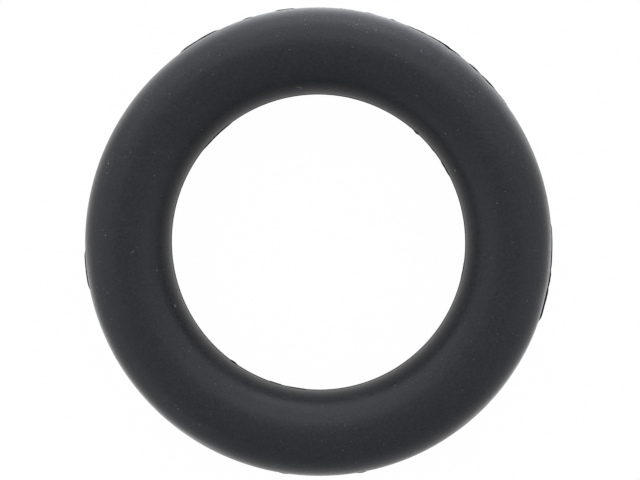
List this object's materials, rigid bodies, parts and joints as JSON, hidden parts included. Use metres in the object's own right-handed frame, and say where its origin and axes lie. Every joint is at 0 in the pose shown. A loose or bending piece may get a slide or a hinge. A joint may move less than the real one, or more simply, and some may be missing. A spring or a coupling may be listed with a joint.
{
  "type": "o-ring",
  "caption": "Black moulded rubber O-ring of round section that seals a shaft or a groove, with torn flash along its parting line.",
  "frame": {"origin": "centre of the ring, on the parting plane at half its height", "axes": "+Z along the ring's axis; the ring lies flat, and +X is where the angles of the flash start"},
  "size_m": [0.019, 0.019, 0.0036],
  "materials": {
    "nitrile_rubber": "matt moulded surface, charcoal black with a cool cast and a light dusting of pale specks"
  },
  "bodies": {
    "root": {"o_ring": "nitrile_rubber"}
  },
  "joints": []
}
